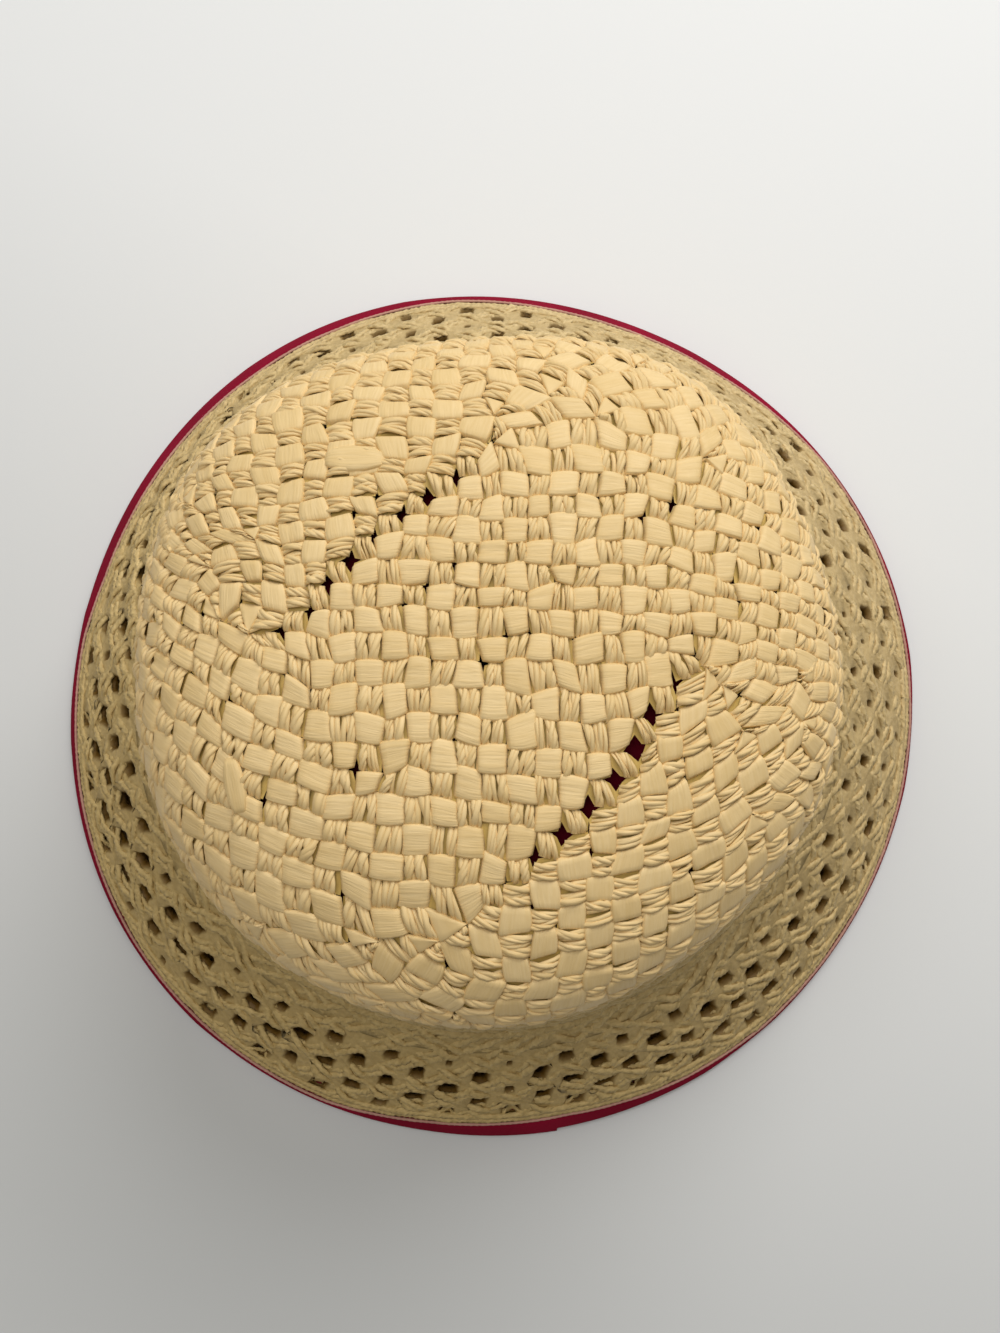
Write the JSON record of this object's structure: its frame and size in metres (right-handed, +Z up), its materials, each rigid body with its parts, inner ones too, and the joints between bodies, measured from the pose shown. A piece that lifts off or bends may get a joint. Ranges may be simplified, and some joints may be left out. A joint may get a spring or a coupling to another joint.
{
  "type": "woven straw bucket hat",
  "caption": "Round hat with a hollow domed crown of plain woven straw, an openwork bell brim, a folded cloth edge binding and a cloth crown lining.",
  "frame": {"origin": "on the ground under the middle of the hat, which stands on its rim with the crown up", "axes": "+Z up through the crown, -Y towards the near side in the picture, +X to the picture's right"},
  "size_m": [0.2552, 0.2556, 0.114],
  "materials": {
    "straw_weave": "plain weave of flat and twisted paper straw, satin",
    "straw_lace": "openwork of twisted paper straw cords, satin",
    "crimson_tape": "folded cotton tape, matt",
    "crimson_lining": "thin cotton cloth, matt"
  },
  "bodies": {
    "root": {"crown": "straw_weave", "brim": "straw_lace", "edge_binding": "crimson_tape", "crown_lining": "crimson_lining"}
  },
  "joints": []
}
